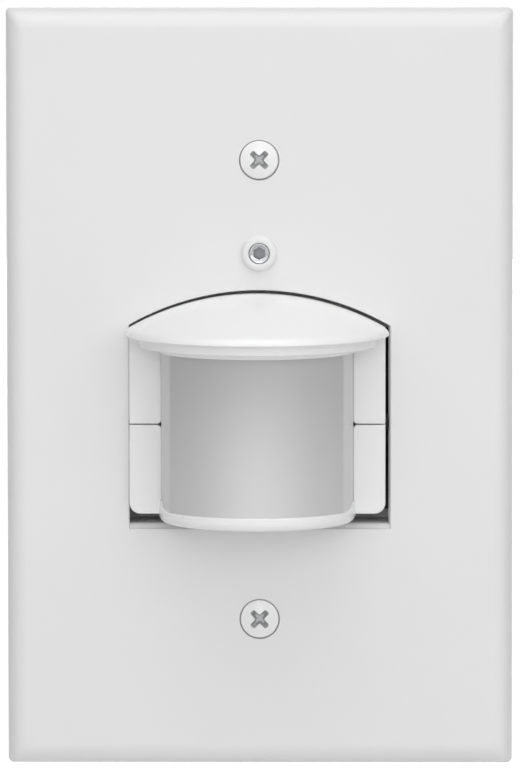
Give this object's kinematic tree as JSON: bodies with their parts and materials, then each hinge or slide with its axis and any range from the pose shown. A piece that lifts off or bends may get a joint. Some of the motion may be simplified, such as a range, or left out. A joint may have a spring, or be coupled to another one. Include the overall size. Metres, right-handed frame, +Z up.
{
  "type": "motion sensor light switch",
  "caption": "Oversize white wall plate with a tilting half-round sensor head under a domed cap, a hex adjuster and a boxed relay unit behind.",
  "frame": {"origin": "middle between the two box screws, on the wall plane", "axes": "+X to the right seen from the room, +Y into the wall, +Z up"},
  "size_m": [0.0916, 0.0732, 0.1375],
  "materials": {
    "plate_white": "satin white moulded plate",
    "head_white": "smooth white moulded shell",
    "lens_grey": "milky grey translucent polyethylene",
    "frame_white": "plain white moulding behind the lens",
    "painted_screw": "white enamel with bare metal in the cross recess",
    "plated_steel": "bright zinc plated steel",
    "bush_nylon": "black nylon",
    "housing_black": "fine textured black thermoplastic",
    "board_green": "solder masked glass epoxy board",
    "part_black": "moulded component case",
    "part_blue": "coated component body",
    "part_yellow": "boxed film capacitor case",
    "part_ivory": "natural nylon",
    "can_metal": "drawn metal can",
    "filter_dark": "dark silicon filter",
    "cell_red": "coated light cell",
    "led_red": "tinted epoxy",
    "brass": "bare brass",
    "ground_green": "green dyed screw",
    "ribbon_grey": "flat flexible cable"
  },
  "bodies": {
    "base": {"wall_plate": "plate_white", "mounting_screws": "painted_screw", "adjuster_bushing": "head_white", "pivot_bushes": "bush_nylon", "trimmer_case": "part_blue", "rear_housing": "housing_black", "housing_screws": "plated_steel", "main_board": "board_green", "board_screws": "plated_steel", "relay": "part_black", "film_capacitor": "part_yellow", "smoothing_capacitor": "part_blue", "varistor": "part_blue", "fuse": "can_metal", "control_chip": "part_black", "bridge_rectifier": "part_black", "board_connector": "part_ivory", "terminal_plates": "brass", "terminal_screws": "brass", "ground_plate": "plated_steel", "ground_screw": "ground_green", "sensor_ribbon": "ribbon_grey"},
    "head": {"upper_shell": "head_white", "lower_shell": "head_white", "lens": "lens_grey", "lens_frame": "frame_white", "pivot_pins": "plated_steel", "friction_washer": "plated_steel", "sensor_board": "board_green", "pyro_detector": "can_metal", "detector_window": "filter_dark", "light_sensor": "cell_red", "indicator_led": "led_red", "head_back": "frame_white", "head_screws": "plated_steel", "head_connector": "part_ivory"},
    "adjuster": {"adjuster_shaft": "plated_steel", "trimmer_rotor": "part_ivory"}
  },
  "joints": [
    {"name": "head_tilt", "type": "hinge", "parent": "base", "child": "head", "pos_m": [-0.00035, -0.0034, -0.0059], "axis": [1, 0, 0], "range_deg": [-5, 12], "deforming": ["sensor_ribbon"]},
    {"name": "adjuster_turn", "type": "hinge", "parent": "base", "child": "adjuster", "pos_m": [0, 0, 0.0249], "axis": [0, 1, 0], "range_deg": [-135, 135]}
  ]
}
